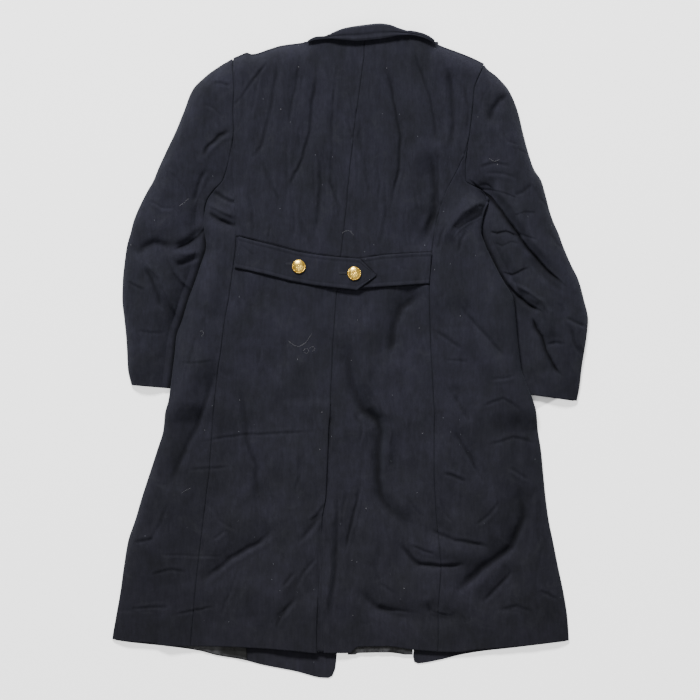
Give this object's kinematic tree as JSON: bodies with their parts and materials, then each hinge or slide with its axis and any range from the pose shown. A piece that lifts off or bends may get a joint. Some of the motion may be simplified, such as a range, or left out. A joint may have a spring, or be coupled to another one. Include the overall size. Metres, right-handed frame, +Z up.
{
  "type": "wool overcoat",
  "caption": "Long navy wool overcoat laid flat face down, back up, with a buttoned half belt, a long back vent, folded collar and sleeves at its sides.",
  "frame": {"origin": "middle of the coat's footprint, on the surface that it lies on", "axes": "+X to the viewer's right looking down at the back, +Y from the hem to the collar, +Z up from the surface through the coat"},
  "size_m": [0.9044, 1.2432, 0.0375],
  "materials": {
    "wool": "milled napped wool, near-black navy",
    "lining": "satin, dark grey",
    "brass": "polished, domed"
  },
  "bodies": {
    "root": {"back_left": "wool", "back_right": "wool", "vent_underlay": "wool", "side_left": "wool", "side_right": "wool", "front_left": "wool", "front_right": "wool", "sleeve_left_top": "wool", "sleeve_left_under": "wool", "sleeve_right_top": "wool", "sleeve_right_under": "wool", "collar_fall": "wool", "collar_stand": "wool", "collar_end_left": "wool", "collar_end_right": "wool", "belt_left": "wool", "belt_right": "wool", "button_left": "brass", "button_right": "brass", "lining_front": "lining", "lining_back": "lining"}
  },
  "joints": []
}
